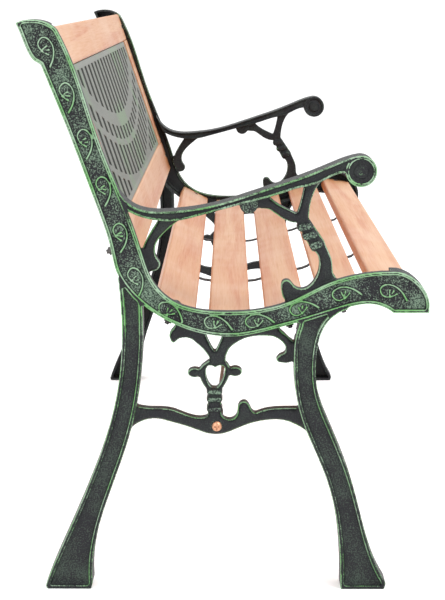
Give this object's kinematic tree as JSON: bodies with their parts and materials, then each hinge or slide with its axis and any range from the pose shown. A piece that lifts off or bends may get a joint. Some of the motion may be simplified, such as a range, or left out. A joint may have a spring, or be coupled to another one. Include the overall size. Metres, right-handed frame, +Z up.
{
  "type": "garden bench",
  "caption": "Slatted garden bench with ornamental cast end frames, a back of wooden rails around a slotted grille, scrolled arms and splayed legs.",
  "frame": {"origin": "on the ground, under the middle of the bench's overall box", "axes": "+X along the bench, from the left end frame to the right one as seen by someone who sits facing -Y; -Y is the front of the seat; +Z is up"},
  "size_m": [1.22, 0.523, 0.7435],
  "materials": {
    "cast_iron": "dark casting, satin, with light green brushed over the raised edges",
    "wood": "light salmon-brown hardwood, clear satin varnish",
    "grille": "grey-green paint with a lighter brushed border",
    "strap": "black painted steel",
    "fasteners": "dark plated steel",
    "struts": "plated steel with a brownish tint",
    "copper": "copper-coloured plating"
  },
  "bodies": {
    "root": {"left_end_frame": "cast_iron", "right_end_frame": "cast_iron", "seat_slat_1": "wood", "seat_slat_2": "wood", "seat_slat_3": "wood", "seat_slat_4": "wood", "seat_slat_5": "wood", "back_top_rail": "wood", "back_bottom_rail": "wood", "left_back_stile": "wood", "right_back_stile": "wood", "stile_dowels": "wood", "back_grille": "grille", "seat_bolts": "fasteners", "seat_washers": "fasteners", "seat_nuts": "fasteners", "back_bolts": "fasteners", "back_washers": "fasteners", "back_nuts": "fasteners", "grille_screws": "fasteners", "strap_screws": "fasteners", "left_seat_strap": "strap", "right_seat_strap": "strap", "left_seat_strut": "struts", "right_seat_strut": "struts", "strut_bolts": "copper", "strut_nuts": "fasteners", "strut_screws": "fasteners"}
  },
  "joints": []
}
